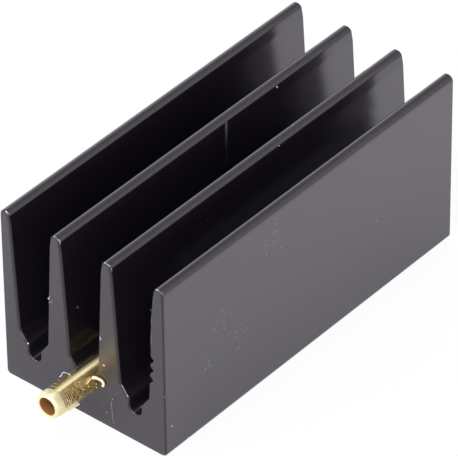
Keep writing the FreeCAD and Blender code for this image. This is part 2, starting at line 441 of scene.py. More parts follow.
class StageLook(bpy.types.PropertyGroup):
    """Camera, lamp, floor and surroundings."""

    camera_place: FloatVectorProperty(
        name="Camera", description="Where the camera stands", subtype="TRANSLATION", size=3,
        default=(0.295109, -0.348072, 0.367457),
    )
    azimuth: FloatProperty(
        name="Azimuth", description="Turn of the view about Z", subtype="ANGLE",
        default=math.radians(40.319),
    )
    elevation: FloatProperty(
        name="Elevation", description="How far the camera looks down", subtype="ANGLE",
        default=math.radians(38.006),
    )
    roll: FloatProperty(
        name="Roll", description="Turn about the view line", subtype="ANGLE",
        default=math.radians(-0.709),
    )
    lens: FloatProperty(
        name="Lens", description="Focal length in millimetres", unit="CAMERA", default=410.1
    )
    back_high: FloatProperty(
        name="Back, high", description="Brightness high up behind", default=0.4
    )
    back_low: FloatProperty(
        name="Back, low", description="Brightness low down behind", default=0.7
    )
    back_left: FloatProperty(
        name="Back, left", description="Extra brightness low down behind, left", default=0.65
    )
    back_right: FloatProperty(
        name="Back, right", description="Extra brightness behind on the right", default=0.16
    )
    front_sky: FloatProperty(name="Front", description="Brightness in front", default=1.25)
    zenith: FloatProperty(
        name="Overhead", description="Extra brightness of a patch almost overhead", default=3.2
    )
    lamp_power: FloatProperty(
        name="Lamp", description="Power of the soft front lamp", unit="POWER", default=3.9
    )
    floor_colour: FloatVectorProperty(
        name="Floor", description="Colour of the floor", subtype="COLOR", size=3,
        default=(0.93, 0.93, 0.93),
    )
    floor_half: FloatProperty(
        name="Floor reach", description="Half the floor's side", unit="LENGTH", default=1.5
    )
    floor_drop: FloatProperty(
        name="Floor drop", description="Gap that keeps the floor clear of the base", unit="LENGTH",
        default=0.02 * MM,
    )
    floor_glow: FloatProperty(
        name="Floor glow", description="Share of plain white that the camera sees on the floor",
        subtype="FACTOR", default=0.94,
    )
    floor_gloss: FloatProperty(
        name="Floor in gloss", description="Share of plain light that glossy faces see on the floor",
        subtype="FACTOR", default=0.65,
    )
    floor_near: FloatProperty(
        name="Floor, near", description="Its light in gloss, close in front", default=0.57
    )
    floor_front: FloatProperty(
        name="Floor, front", description="Its light in gloss, further in front", default=0.6
    )
    floor_left: FloatProperty(
        name="Floor, left", description="Its extra light in gloss, in front on the left", default=0.2
    )
    floor_side: FloatProperty(
        name="Floor, side", description="Its light in gloss, beside the front", default=0.95
    )
    floor_back: FloatProperty(
        name="Floor, back", description="Its light in gloss, beside the back", default=1.16
    )
    floor_shade: FloatProperty(
        name="Floor, shade", description="Light in gloss that it lacks beside the body", default=0.1
    )
    floor_far: FloatProperty(
        name="Far floor", description="Share of that light that is left far off", subtype="FACTOR",
        default=0.6,
    )
    floor_tint: FloatVectorProperty(
        name="Back tint", description="Tint of the floor in gloss, behind", subtype="COLOR", size=3,
        default=(0.95, 0.955, 1.0),
    )


class HeatSinkLooks(bpy.types.PropertyGroup):
    """All the sizes and colours that a user would change."""

    body: PointerProperty(type=BodyFinish)
    pin: PointerProperty(type=PinShape)
    wear: PointerProperty(type=WearColours)
    stage: PointerProperty(type=StageLook)


def looks():
    """The scene's settings."""
    return bpy.context.scene.heat_sink_looks


# Node trees

def add(tree, kind, inputs=None, **settings):
    """Adds a node. Settings are its properties, and inputs are values or other nodes' sockets."""
    made = tree.nodes.new(kind)
    for name, value in settings.items():
        setattr(made, name, value)
    for key, value in (inputs or {}).items():
        if isinstance(value, bpy.types.NodeSocket):
            tree.links.new(value, made.inputs[key])
        else:
            made.inputs[key].default_value = value
    return made


def maths(tree, operation, *values):
    """The result of a Math node over numbers or sockets."""
    return add(tree, "ShaderNodeMath", dict(enumerate(values)), operation=operation).outputs[0]


def product(tree, first, *others):
    """Numbers or sockets multiplied together."""
    for other in others:
        first = maths(tree, "MULTIPLY", first, other)
    return first


def rest_of(tree, share):
    """What a share leaves of 1."""
    return maths(tree, "SUBTRACT", 1.0, share)


def vector_maths(tree, operation, *values):
    """The result of a Vector Math node: a number for a length or a dot product, otherwise a vector."""
    made = add(tree, "ShaderNodeVectorMath", dict(enumerate(values)), operation=operation)
    return made.outputs["Value" if operation in ("LENGTH", "DOT_PRODUCT") else "Vector"]


def ramp(tree, value, start, end):
    """Runs smoothly from 0 at start to 1 at end."""
    limits = {"Value": value, "From Min": start, "From Max": end}
    return add(tree, "ShaderNodeMapRange", limits, interpolation_type="SMOOTHSTEP").outputs["Result"]


def change(tree, value, low, high, start=0.0, end=1.0):
    """Runs straight from low to high as the value goes from start to end."""
    limits = {"Value": value, "From Min": start, "From Max": end, "To Min": low, "To Max": high}
    return add(tree, "ShaderNodeMapRange", limits).outputs["Result"]


def by_direction(tree, direction, patch):
    """Runs from 0 to 1 between a patch's two cosines with the way it faces."""
    towards, begins, full = patch
    return ramp(tree, vector_maths(tree, "DOT_PRODUCT", direction, towards), begins, full)


def mix_colour(tree, factor, first, second):
    """A blend of two colours, each a socket or four numbers."""
    made = add(tree, "ShaderNodeMix", {"Factor": factor}, data_type="RGBA")
    for key, value in (("A_Color", first), ("B_Color", second)):
        socket = next(s for s in made.inputs if s.identifier == key)
        if isinstance(value, bpy.types.NodeSocket):
            tree.links.new(value, socket)
        else:
            socket.default_value = value
    return next(s for s in made.outputs if s.identifier == "Result_Color")


def noise(tree, vector, scale, detail, stretch=(1, 1, 1)):
    """Noise over a stretched copy of a vector, from 0 to 1."""
    mapped = vector_maths(tree, "MULTIPLY", vector, stretch)
    made = add(tree, "ShaderNodeTexNoise", {"Vector": mapped, "Scale": scale, "Detail": detail})
    return made.outputs["Fac"]


def bump(tree, height, depth, **over):
    """The normal of a relief. Another relief's normal may be given as Normal, to lie over it."""
    return add(tree, "ShaderNodeBump", {"Height": height, "Distance": depth, **over}).outputs["Normal"]


def out_from_axis(tree, at, across, up):
    """The vector out from the pin's axis to a place that is split into its parts."""
    return add(tree, "ShaderNodeCombineXYZ", {
        "X": maths(tree, "SUBTRACT", at.outputs["X"], across),
        "Z": maths(tree, "SUBTRACT", at.outputs["Z"], up),
    }).outputs[0]


def opaque(colour):
    """A colour with full alpha."""
    return (*colour, 1.0)


def new_material(name):
    """An empty node material, its shader and its object coordinates."""
    material = bpy.data.materials.new(name)
    material.use_nodes = True
    tree = material.node_tree
    shader = tree.nodes["Principled BSDF"]
    coordinates = add(tree, "ShaderNodeTexCoord")
    return material, tree, shader, coordinates


def black_anodised():
    """Dyed aluminium, nearly black under a satin oxide skin: die lines, saw marks, rubbed tips, and
    painted shade on the end chamfers and in a band beside the slots.
    """
    look = looks().body
    material, tree, shader, coordinates = new_material("black_anodised")
    place = coordinates.outputs["Object"]
    facing = add(tree, "ShaderNodeSeparateXYZ", {0: coordinates.outputs["Normal"]})
    at = add(tree, "ShaderNodeSeparateXYZ", {0: place})
    endways = maths(tree, "ABSOLUTE", facing.outputs["Y"])
    sawn = ramp(tree, endways, *ON_SAWN_END)
    drawn = rest_of(tree, sawn)
    edge = product(tree, ramp(tree, endways, *ON_END_CHAMFER), drawn)
    lines = maths(
        tree, "ADD",
        product(tree, noise(tree, place, **DIE_LINES), drawn),
        product(tree, noise(tree, place, **SAW_MARKS), sawn),
    )
    lined = bump(tree, lines, look.die_line_depth)
    grained = bump(tree, noise(tree, place, **ETCHED_GRAIN), look.grain_depth, Normal=lined)
    worn = product(
        tree,
        ramp(tree, at.outputs["Y"], *BEFORE_CHAMFER_BACK),
        ramp(tree, at.outputs["Y"], *BEHIND_CHAMFER_FRONT),
        ramp(tree, at.outputs["Z"], *NEAR_FIN_TIPS),
        ramp(tree, noise(tree, place, **WORN_SPOTS), *IN_WORN_SPOT),
    )
    dyed = mix_colour(tree, worn, opaque(look.colour), opaque(look.bare_metal))
    tree.links.new(dyed, shader.inputs["Base Color"])
    tree.links.new(worn, shader.inputs["Metallic"])
    patchy = maths(tree, "SUBTRACT", noise(tree, place, **GLOSS_PATCHES), NOISE_MIDDLE)
    roughness = maths(
        tree, "ADD",
        change(tree, sawn, look.roughness, look.sawn_roughness),
        product(tree, patchy, GLOSS_SWING),
    )
    tree.links.new(roughness, shader.inputs["Roughness"])
    # Painted shade: a band beside each slot on the sawn ends loses sheen, standing in for a rounded edge
    in_slot = maths(tree, "WRAP", at.outputs["X"], SLOT_PITCH / 2, -SLOT_PITCH / 2)
    half_slot = change(tree, at.outputs["Z"], HALF_WAIST, HALF_MOUTH, SHOULDER_TOP, TOP)
    from_wall = maths(tree, "SUBTRACT", product(tree, half_slot, -1.0), in_slot)
    rim = product(
        tree, sawn,
        maths(tree, "GREATER_THAN", at.outputs["Z"], SHOULDER_TOP),
        maths(tree, "GREATER_THAN", from_wall, 0.0),
        ramp(tree, from_wall, look.rim_shade_width, RIM_SHADE_FULL_AT * look.rim_shade_width),
    )
    kept = rest_of(tree, product(tree, rim, look.rim_shade_loss))
    # Painted shade: the end chamfers keep less sheen, which dims their mirror of the bright front
    sheen = change(tree, edge, FULL_SHEEN, FULL_SHEEN * look.shaded_chamfer_sheen)
    tree.links.new(product(tree, sheen, kept), shader.inputs["Specular IOR Level"])
    tree.links.new(grained, shader.inputs["Normal"])
    shader.inputs["IOR"].default_value = look.skin_ior
    shader.inputs["Specular Tint"].default_value = opaque(look.sheen_tint)
    return material


def pin_brass():
    """Turned brass: stained in patches and in the bore, with a painted highlight along the top, a painted
    reflection behind the tip and on the underside, and dark random patches with painted shade on one
    flank.
    """
    look = looks().pin
    material, tree, shader, coordinates = new_material("pin_brass")
    place = coordinates.outputs["Object"]
    at = add(tree, "ShaderNodeSeparateXYZ", {0: place})
    along = at.outputs["Y"]
    out = out_from_axis(tree, at, PIN_AXIS.x, PIN_AXIS.z)
    outward = vector_maths(tree, "NORMALIZE", out)
    bore_starts, bore_full = (look.bore / 2 + past for past in BORE_EDGE)
    in_bore = ramp(tree, vector_maths(tree, "LENGTH", out), bore_starts, bore_full)
    land_end = PIN_TIP + look.land
    ribbed = ramp(tree, along, land_end - RIBS_EDGE, land_end + RIBS_EDGE)
    off_highlight_strip = by_direction(tree, outward, OFF_HIGHLIGHT_STRIP)
    highlight_strip = product(tree, ribbed, rest_of(tree, off_highlight_strip))
    off_reflection_underside = by_direction(tree, outward, OFF_REFLECTION_UNDERSIDE)
    marked = product(tree, ribbed, off_highlight_strip, off_reflection_underside)

    grooved = bump(tree, noise(tree, place, **TURNED_GROOVES), GROOVE_DEPTH)
    pitted = bump(tree, product(tree, noise(tree, place, **PITS), marked), PIT_DEPTH, Normal=grooved)
    tree.links.new(pitted, shader.inputs["Normal"])

    stained = product(tree, marked, ramp(tree, noise(tree, place, **STAINS), *IN_STAIN), STAIN_SHARE)
    barrel = mix_colour(tree, stained, opaque(look.colour), opaque(look.tarnish))
    # Painted reflection: lighter brass fading in behind the tip's land, and over the underside
    land_reflection_fade = product(tree, ramp(tree, along, land_end + LAND_REFLECTION_FADE, land_end), LAND_REFLECTION_SHARE)
    barrel = mix_colour(tree, land_reflection_fade, barrel, opaque(look.land_and_reflection_colour))
    barrel = mix_colour(tree, rest_of(tree, off_reflection_underside), barrel, opaque(look.land_and_reflection_colour))
    # Darker brown on the upper-left flank in random patches, growing towards the body as painted shade
    grimy_and_shaded = product(
        tree,
        by_direction(tree, outward, ON_SHADED_FLANK),
        change(tree, ramp(tree, along, SAWN_END - SHADE_REACH, SAWN_END), *SHADE_SHARES),
        ramp(tree, noise(tree, place, **GRIME_PATCHES), *IN_GRIME),
    )
    barrel = mix_colour(tree, grimy_and_shaded, barrel, opaque(look.grime_and_shade))
    # Painted highlight: lighter brass along the top strip
    barrel = mix_colour(tree, highlight_strip, barrel, opaque(look.rubbed))
    # The land itself takes the lighter brass, partly its own clean brass and partly painted reflection
    barrel = mix_colour(tree, ribbed, opaque(look.land_and_reflection_colour), barrel)
    colour = mix_colour(tree, in_bore, barrel, opaque(look.bore_stain))
    tree.links.new(colour, shader.inputs["Base Color"])

    roughness = change(tree, highlight_strip, look.roughness, look.highlight_strip_roughness)
    roughness = change(tree, ribbed, look.land_roughness, roughness)
    roughness = change(tree, in_bore, roughness, look.bore_roughness)
    tree.links.new(roughness, shader.inputs["Roughness"])
    bare = change(tree, ribbed, look.land_bareness, look.bareness)
    tree.links.new(bare, shader.inputs["Metallic"])

    around = vector_maths(tree, "CROSS_PRODUCT", (0, 1, 0), out)
    drawn_out = vector_maths(tree, "CROSS_PRODUCT", around, coordinates.outputs["Normal"])
    tree.links.new(vector_maths(tree, "NORMALIZE", drawn_out), shader.inputs["Tangent"])
    tree.links.new(product(tree, highlight_strip, look.stretch), shader.inputs["Anisotropic"])
    return material


def scraped_skin():
    """Where the skin is scraped: grey at the fin's tip, fading into the dye further down."""
    material, tree, shader, coordinates = new_material("scraped_skin")
    at = add(tree, "ShaderNodeSeparateXYZ", {0: coordinates.outputs["Object"]})
    faded = ramp(tree, at.outputs["Z"], *SCRAPE_FADES)
    colour = mix_colour(tree, faded, opaque(looks().wear.scrape), opaque(looks().body.colour))
    tree.links.new(colour, shader.inputs["Base Color"])
    shader.inputs["Roughness"].default_value = SCRAPE_ROUGHNESS
    shader.inputs["Specular IOR Level"].default_value = SCRAPE_SHEEN
    return material


def plain_metal(name, colour, metallic, roughness):
    """A small uneven bit of metal or dust, in one colour."""
    material, tree, shader, coordinates = new_material(name)
    uneven = noise(tree, coordinates.outputs["Object"], **UNEVEN_BITS)
    tree.links.new(bump(tree, uneven, BIT_RELIEF), shader.inputs["Normal"])
    shader.inputs["Base Color"].default_value = opaque(colour)
    shader.inputs["Metallic"].default_value = metallic
    shader.inputs["Roughness"].default_value = roughness
    return material


# Meshes

def new_piece(name, mesh, material):
    """An object at the origin that holds a finished mesh."""
    mesh.name = name
    piece = bpy.data.objects.new(name, mesh)
    bpy.context.scene.collection.objects.link(piece)
    mesh.materials.clear()
    mesh.materials.append(material)
    return piece


def merged_copy(node):
    """A frame node's mesh with its triangles joined up, flat faces made whole and hard edges marked."""
    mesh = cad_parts[node].data.copy()
    shape = bmesh.new()
    shape.from_mesh(mesh)
    bmesh.ops.remove_doubles(shape, verts=shape.verts, dist=MERGE_WITHIN)
    bmesh.ops.dissolve_limit(
        shape, angle_limit=FLAT_WITHIN, verts=shape.verts, edges=shape.edges,
        use_dissolve_boundaries=False,
    )
    for face in shape.faces:
        face.smooth = True
    for edge in shape.edges:
        edge.smooth = edge.calc_face_angle(math.pi) < SHARP_ABOVE
    shape.to_mesh(mesh)
    shape.free()
    return mesh


def pin_half_section():
    """The pin's outline as (along, out), from the bore's far end round the tip to the hidden end."""
    look = looks().pin
    bore = look.bore / 2
    turns = [math.pi / 2 * step / LIP_STEPS for step in range(LIP_STEPS + 1)]
    lip = [
        (PIN_TIP + look.bore_lip * (1 - math.sin(turn)), bore + look.bore_lip * (1 - math.cos(turn)))
        for turn in turns
    ]
    band_start = PIN_TIP + look.land
    tip = Vector((PIN_TIP, PIN_RADIUS - look.dome_drop))
    over_tip = Vector((PIN_TIP, PIN_RADIUS - TIP_HANDLE_DROP * look.dome_drop))
    before_shoulder = Vector((
        PIN_TIP + SHOULDER_HANDLE_LAND * look.land, PIN_RADIUS - SHOULDER_HANDLE_DROP * look.dome_drop,
    ))
    shoulder = Vector((band_start, PIN_RADIUS))
    curve = interpolate_bezier(tip, over_tip, before_shoulder, shoulder, DOME_POINTS)
    dome = [tuple(point) for point in curve[:-1]]
    steps = round((SAWN_END - band_start) / look.rib_pitch * RINGS_PER_RIB)
    barrel = [
        (band_start + look.rib_pitch * step / RINGS_PER_RIB, PIN_RADIUS) for step in range(steps + 1)
    ]
    hidden = [(PIN_ROOT - look.lead_in, PIN_RADIUS), (PIN_ROOT, PIN_RADIUS - look.lead_in)]
    return [(PIN_ROOT, bore)] + lip + dome + barrel + hidden


def lathe(outline, columns):
    """A closed mesh turned about the pin's axis from a closed outline of (along, out)."""
    shape = bmesh.new()
    rings = []
    for along, out in outline:
        ring = []
        for column in range(columns):
            turn = 2 * math.pi * column / columns
            place = PIN_AXIS + Vector((out * math.cos(turn), along, out * math.sin(turn)))
            ring.append(shape.verts.new(place))
        rings.append(ring)
    for index, ring in enumerate(rings):
        following = rings[(index + 1) % len(rings)]
        for column in range(columns):
            beside = (column + 1) % columns
            shape.faces.new((ring[column], ring[beside], following[beside], following[column]))
    for face in shape.faces:
        face.smooth = True
    bmesh.ops.recalc_face_normals(shape, faces=shape.faces)
    mesh = bpy.data.meshes.new("lathe")
    shape.to_mesh(mesh)
    shape.free()
    return mesh


def new_geometry_tree(name, sizes):
    """A Geometry Nodes tree with a named float or integer input for each size."""
    tree = bpy.data.node_groups.new(name, "GeometryNodeTree")
    tree.interface.new_socket(name="Geometry", in_out="INPUT", socket_type="NodeSocketGeometry")
    tree.interface.new_socket(name="Geometry", in_out="OUTPUT", socket_type="NodeSocketGeometry")
    for label, value in sizes.items():
        kind = "NodeSocketInt" if isinstance(value, int) else "NodeSocketFloat"
        tree.interface.new_socket(name=label, in_out="INPUT", socket_type=kind)
    return tree, tree.nodes.new("NodeGroupInput"), tree.nodes.new("NodeGroupOutput")


def apply_tree(piece, tree, sizes):
    """Runs a tree on a piece with its sizes, keeps the result as plain mesh and takes the modifier off."""
    modifier = piece.modifiers.new(tree.name, "NODES")
    modifier.node_group = tree
    for item in tree.interface.items_tree:
        if item.in_out == "INPUT" and item.name in sizes:
            modifier[item.identifier] = sizes[item.name]
    bpy.context.view_layer.update()
    evaluated = piece.evaluated_get(bpy.context.evaluated_depsgraph_get())
    mesh = bpy.data.meshes.new_from_object(evaluated)
    piece.modifiers.remove(modifier)
    mesh.name = piece.name
    piece.data = mesh
    return piece


def finish_tree(tree, shape, material, output):
    """Ends a tree with real geometry in one material."""
    real = add(tree, "GeometryNodeRealizeInstances", {"Geometry": shape})
    coated = add(tree, "GeometryNodeSetMaterial", {"Geometry": real.outputs[0], "Material": material})
    tree.links.new(coated.outputs[0], output.inputs[0])


def rib_tree(material, sizes):
    """Turns uneven, bruised ribs into the outside of a plain barrel, but not into its smooth strips."""
    tree, given, output = new_geometry_tree("turned_ribs", sizes)
    place = add(tree, "GeometryNodeInputPosition").outputs[0]
    at = add(tree, "ShaderNodeSeparateXYZ", {0: place})
    behind_land = maths(tree, "SUBTRACT", at.outputs["Y"], given.outputs["Band start"])
    count = maths(tree, "DIVIDE", behind_land, given.outputs["Rib pitch"])
    in_band = product(
        tree,
        maths(tree, "GREATER_THAN", count, 0.0),
        maths(tree, "LESS_THAN", count, given.outputs["Rib count"]),
    )
    out = out_from_axis(tree, at, given.outputs["Axis X"], given.outputs["Axis Z"])
    outside = maths(
        tree, "GREATER_THAN", vector_maths(tree, "LENGTH", out), given.outputs["Least radius"]
    )
    outward = vector_maths(tree, "NORMALIZE", out)
    swing = change(tree, noise(tree, place, **UNEVEN_RIBS), *RIB_SWING, *RIB_SWING_OVER)
    # A valley's middle is at one half, so minus twice that moves it in by the whole depth
    valley = product(tree, maths(tree, "PINGPONG", count, 0.5), -2.0)
    depth = product(tree, valley, given.outputs["Rib depth"], in_band, swing)
    bruised = product(
        tree,
        ramp(tree, noise(tree, place, **BRUISES), *IN_BRUISE),
        ramp(tree, count, 0.0, BRUISED_BY_RIB),
        given.outputs["Bruise depth"],
    )
    # No ribs in the top strip of the painted highlight nor on the underside of the painted reflection
    depth = product(
        tree,
        maths(tree, "SUBTRACT", depth, bruised),
        by_direction(tree, outward, OFF_HIGHLIGHT_STRIP),
        by_direction(tree, outward, OFF_REFLECTION_UNDERSIDE),
        outside,
    )
    move = add(tree, "ShaderNodeVectorMath", {0: outward, "Scale": depth}, operation="SCALE")
    moved = add(
        tree, "GeometryNodeSetPosition", {"Geometry": given.outputs[0], "Offset": move.outputs[0]}
    )
    finish_tree(tree, moved.outputs[0], material, output)
    return tree


def shaving_tree(material, sizes):
    """Sweeps a flat oval along a path of edges, turned to a given direction, tapered and notched."""
    tree, given, output = new_geometry_tree("swept_shaving", sizes)
    path = add(tree, "GeometryNodeMeshToCurve", {"Mesh": given.outputs[0]})
    smooth = add(
        tree, "GeometryNodeCurveSplineType", {"Curve": path.outputs[0]}, spline_type="CATMULL_ROM"
    )
    even = add(
        tree, "GeometryNodeResampleCurve",
        {"Curve": smooth.outputs[0], "Count": given.outputs["Stations"]},
    )
    facing = add(tree, "ShaderNodeCombineXYZ", {
        "X": given.outputs["Facing X"], "Y": given.outputs["Facing Y"], "Z": given.outputs["Facing Z"],
    })
    turned = add(
        tree, "GeometryNodeSetCurveNormal",
        {"Curve": even.outputs[0], "Normal": facing.outputs[0]}, mode="FREE",
    )
    circle = add(
        tree, "GeometryNodeCurvePrimitiveCircle", {"Resolution": SECTION_SIDES, "Radius": 0.5}
    )
    oval_size = add(tree, "ShaderNodeCombineXYZ", {
        "X": given.outputs["Breadth"], "Y": given.outputs["Thickness"], "Z": 1.0,
    })
    oval = add(
        tree, "GeometryNodeTransform",
        {"Geometry": circle.outputs["Curve"], "Scale": oval_size.outputs[0]},
    )
    along = add(tree, "GeometryNodeSplineParameter")
    taper = rest_of(tree, product(tree, along.outputs["Factor"], given.outputs["Taper"]))
    count = maths(tree, "DIVIDE", along.outputs["Length"], given.outputs["Notch pitch"])
    wave = maths(tree, "PINGPONG", count, 0.5)
    notched = rest_of(tree, product(tree, wave, given.outputs["Notch share"]))
    swept = add(tree, "GeometryNodeCurveToMesh", {
        "Curve": turned.outputs[0], "Profile Curve": oval.outputs[0], "Fill Caps": True,
        "Scale": product(tree, taper, notched),
    })
    smooth_faces = add(tree, "GeometryNodeSetShadeSmooth", {"Geometry": swept.outputs[0]})
    finish_tree(tree, smooth_faces.outputs[0], material, output)
    return tree


def sweep(name, points, material, facing=(0, -1, 0), breadth=0.1, thickness=0.1, taper=0.0, notch=0.0):
    """A thin shaving or burr along points, sizes in millimetres, its broad way towards facing."""
    mesh = bpy.data.meshes.new(name)
    edges = [(n, n + 1) for n in range(len(points) - 1)]
    mesh.from_pydata([Vector(point) * MM for point in points], edges, [])
    piece = new_piece(name, mesh, material)
    sizes = {
        "Stations": STATIONS_PER_POINT * len(points),
        "Breadth": breadth * MM,
        "Thickness": thickness * MM,
        "Taper": taper,
        "Notch pitch": NOTCH_PITCH * MM,
        "Notch share": notch,
        "Facing X": float(facing[0]),
        "Facing Y": float(facing[1]),
        "Facing Z": float(facing[2]),
    }
    return apply_tree(piece, shaving_tree(material, sizes), sizes)


def speck_tree(material, sizes):
    """Puts an uneven grain on every given point."""
    tree, given, output = new_geometry_tree("specks", sizes)
    grain = add(tree, "GeometryNodeMeshIcoSphere", {"Radius": 1.0, "Subdivisions": 1})
    turn = add(tree, "FunctionNodeRandomValue", data_type="FLOAT_VECTOR")
    turn.inputs["Max"].default_value = (math.tau, math.tau, math.tau)
    tree.links.new(given.outputs["Seed"], turn.inputs["Seed"])
    shape = add(tree, "FunctionNodeRandomValue", data_type="FLOAT_VECTOR")
    shape.inputs["Min"].default_value = GRAIN_LEAST
    shape.inputs["Max"].default_value = GRAIN_MOST
    tree.links.new(given.outputs["Seed"], shape.inputs["Seed"])
    size = add(tree, "FunctionNodeRandomValue", data_type="FLOAT")
    tree.links.new(given.outputs["Smallest"], size.inputs[2])
    tree.links.new(given.outputs["Largest"], size.inputs[3])
    tree.links.new(given.outputs["Seed"], size.inputs["Seed"])
    scale = add(
        tree, "ShaderNodeVectorMath", {0: shape.outputs[0], "Scale": size.outputs[1]}, operation="SCALE"
    )
    grains = add(tree, "GeometryNodeInstanceOnPoints", {
        "Points": given.outputs[0], "Instance": grain.outputs[0], "Rotation": turn.outputs[0],
        "Scale": scale.outputs[0],
    })
    finish_tree(tree, grains.outputs[0], material, output)
    return tree


def specks(name, points, material, smallest, largest, seed):
    """Grains on points, with radii from smallest to largest, all in millimetres."""
    mesh = bpy.data.meshes.new(name)
    mesh.from_pydata([Vector(point) * MM for point in points], [], [])
    piece = new_piece(name, mesh, material)
    sizes = {"Smallest": smallest * MM, "Largest": largest * MM, "Seed": seed}
    return apply_tree(piece, speck_tree(material, sizes), sizes)


def chip_row():
    """Chips down the right-hand fin's edge, just behind the sawn end, in millimetres."""
    along = SAWN_END / MM + ROW_BEHIND_END
    return [
        (ROW_FIRST_X - ROW_STEP_X * n + stray, along, ROW_FIRST_Z - ROW_STEP_Z * n)
        for n, stray in enumerate(ROW_STRAYS)
    ]


def clusters(centres, spread, count, seed):
    """Points strewn round each centre, (along, up), thinner further out."""
    chance = random.Random(seed)
    return [
        (chance.gauss(centre[0], spread), chance.gauss(centre[1], spread))
        for centre in centres
        for _ in range(count)
    ]


# Stage

def view_matrix(look):
    """The camera's place and turn, from its azimuth, elevation and roll."""
    forward = Vector((
        -math.sin(look.azimuth) * math.cos(look.elevation),
        math.cos(look.azimuth) * math.cos(look.elevation),
        -math.sin(look.elevation),
    ))
    level = forward.cross(Vector((0, 0, 1))).normalized()
    up = level.cross(forward)
    right = level * math.cos(look.roll) + up * math.sin(look.roll)
    up = right.cross(forward)
    turn = Matrix((right, up, -forward)).transposed()
    return Matrix.Translation(look.camera_place) @ turn.to_4x4()


def floor_material():
    """A white floor with a faint shadow, whose light in gloss changes from place to place."""
    look = looks().stage
    material, tree, shader, coordinates = new_material("floor_white")
    shader.inputs["Base Color"].default_value = opaque(look.floor_colour)
    shader.inputs["Roughness"].default_value = 1.0
    shader.inputs["Specular IOR Level"].default_value = 0.0
    rays = add(tree, "ShaderNodeLightPath")
    seen = rays.outputs["Is Camera Ray"]
    place = coordinates.outputs["Object"]
    at = add(tree, "ShaderNodeSeparateXYZ", {0: place})
    along = at.outputs["Y"]
    left = product(tree, ramp(tree, at.outputs["X"], *FLOOR_LEFT), look.floor_left)
    front = change(tree, along, look.floor_near, look.floor_front, *FLOOR_FRONT)
    side = change(tree, along, look.floor_side, look.floor_back, *FLOOR_SIDE)
    shade = product(tree, ramp(tree, at.outputs["X"], *FLOOR_SHADE), look.floor_shade)
    in_gloss = change(
        tree, ramp(tree, along, *FLOOR_TURN),
        maths(tree, "ADD", front, left),
        maths(tree, "SUBTRACT", side, shade),
    )
    distance = vector_maths(tree, "LENGTH", place)
    in_gloss = product(tree, in_gloss, change(tree, distance, 1.0, look.floor_far, *FLOOR_FAR))
    tint = mix_colour(
        tree, change(tree, along, 0.0, 1.0, *FLOOR_TINTED), WHITE, opaque(look.floor_tint)
    )
    glow = add(tree, "ShaderNodeEmission", {
        "Color": mix_colour(tree, seen, tint, WHITE), "Strength": change(tree, seen, in_gloss, 1.0),
    })
    gloss = maths(tree, "MAXIMUM", rays.outputs["Is Glossy Ray"], rays.outputs["Is Transmission Ray"])
    share = maths(
        tree, "ADD", product(tree, seen, look.floor_glow), product(tree, gloss, look.floor_gloss)
    )
    blend = add(tree, "ShaderNodeMixShader", {0: share, 1: shader.outputs[0], 2: glow.outputs[0]})
    tree.links.new(blend.outputs[0], tree.nodes["Material Output"].inputs["Surface"])
    return material


def white_room():
    """Surroundings that the camera sees white and the metal sees darker and brighter in places."""
    look = looks().stage
    world = bpy.data.worlds.new("white_room")
    world.use_nodes = True
    tree = world.node_tree
    direction = add(tree, "ShaderNodeTexCoord").outputs["Generated"]
    parts = add(tree, "ShaderNodeSeparateXYZ", {0: direction})
    low = change(tree, parts.outputs["Z"], 0.0, 1.0, *SKY_LOW)
    on_left = product(tree, low, ramp(tree, parts.outputs["X"], *SKY_LEFT), look.back_left)
    behind = maths(tree, "ADD", change(tree, low, look.back_high, look.back_low), on_left)
    on_right = product(tree, by_direction(tree, direction, IN_RIGHT_PATCH), look.back_right)
    behind = maths(tree, "ADD", behind, on_right)
    strength = change(tree, ramp(tree, parts.outputs["Y"], *SKY_FRONT), behind, look.front_sky)
    overhead = product(tree, by_direction(tree, direction, IN_OVERHEAD_PATCH), look.zenith)
    strength = maths(tree, "ADD", strength, overhead)
    seen = add(tree, "ShaderNodeLightPath").outputs["Is Camera Ray"]
    background = tree.nodes["Background"]
    tree.links.new(change(tree, seen, strength, 1.0), background.inputs["Strength"])
    background.inputs["Color"].default_value = WHITE
    return world


def front_lamp(power):
    """A large soft lamp, in front and above."""
    lamp = bpy.data.objects.new("front_lamp", bpy.data.lights.new("front_lamp", "AREA"))
    lamp.data.shape = "RECTANGLE"
    lamp.data.size = LAMP_WIDTH
    lamp.data.size_y = LAMP_HEIGHT
    lamp.data.energy = power
    turn = LAMP_TOWARDS.to_track_quat("-Z", "Z").to_matrix().to_4x4()
    lamp.matrix_world = Matrix.Translation(-LAMP_TOWARDS * LAMP_DISTANCE) @ turn
    return lamp


def view_camera(look):
    """A camera with the given lens, place and turn."""
    camera = bpy.data.objects.new("camera", bpy.data.cameras.new("camera"))
    camera.data.lens = look.lens
    camera.data.sensor_width = SENSOR_WIDTH
    camera.data.clip_end = VIEW_END
    camera.matrix_world = view_matrix(look)
    return camera


# Operators, one for each piece or group of pieces

class HEATSINK_OT_finish_body(bpy.types.Operator):
    """Gives the extrusion whole faces, softly shaded edges and its anodised finish"""

    bl_idname = "heatsink.finish_body"
    bl_label = "Finish the body"

    def execute(self, context):
        piece = new_piece("finned_body_finished", merged_copy(BODY_NODE), black_anodised())
        soften = piece.modifiers.new("soft_edges", "WEIGHTED_NORMAL")
        soften.keep_sharp = True
        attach(piece, ROOT)
        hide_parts(BODY_NODE)
        return {"FINISHED"}


